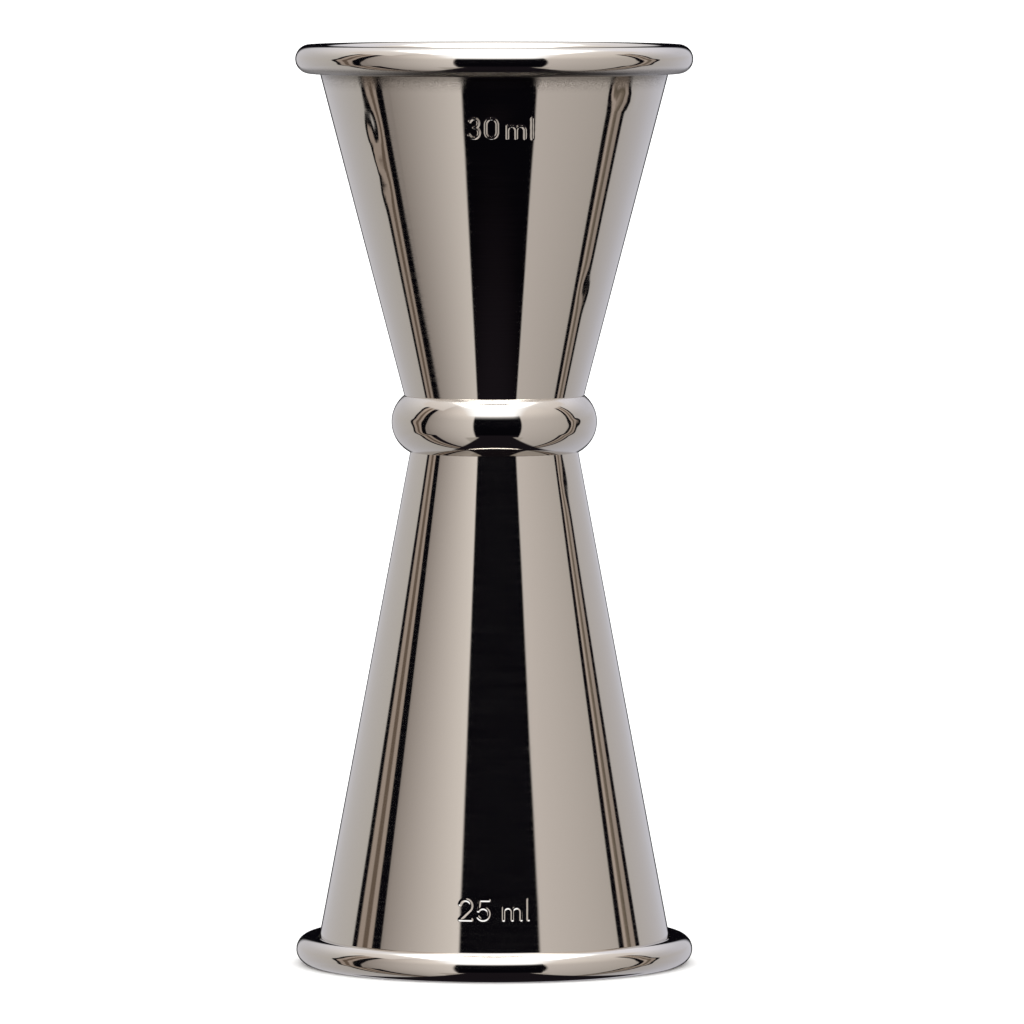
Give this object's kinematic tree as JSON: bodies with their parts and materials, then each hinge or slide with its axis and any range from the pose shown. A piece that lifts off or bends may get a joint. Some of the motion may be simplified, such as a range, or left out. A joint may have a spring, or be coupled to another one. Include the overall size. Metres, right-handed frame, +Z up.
{
  "type": "bar jigger",
  "caption": "Polished steel double bar measure: a short and a long conical cup joined floor to floor, with rolled rims and a half-round waist ring.",
  "frame": {"origin": "centre of the plane that the long cup's rim stands on", "axes": "+Z up along the axis of the cups, from the long cup to the short cup; both capacity marks face -Y"},
  "size_m": [0.0462, 0.0462, 0.107],
  "materials": {
    "polished_steel": "polished",
    "ring_steel": "polished",
    "weld_steel": "satin",
    "braze": "satin"
  },
  "bodies": {
    "root": {"upper_cup": "polished_steel", "lower_cup": "polished_steel", "waist_ring": "ring_steel", "floor_spot_welds": "weld_steel", "upper_ring_braze": "braze", "lower_ring_braze": "braze"}
  },
  "joints": []
}
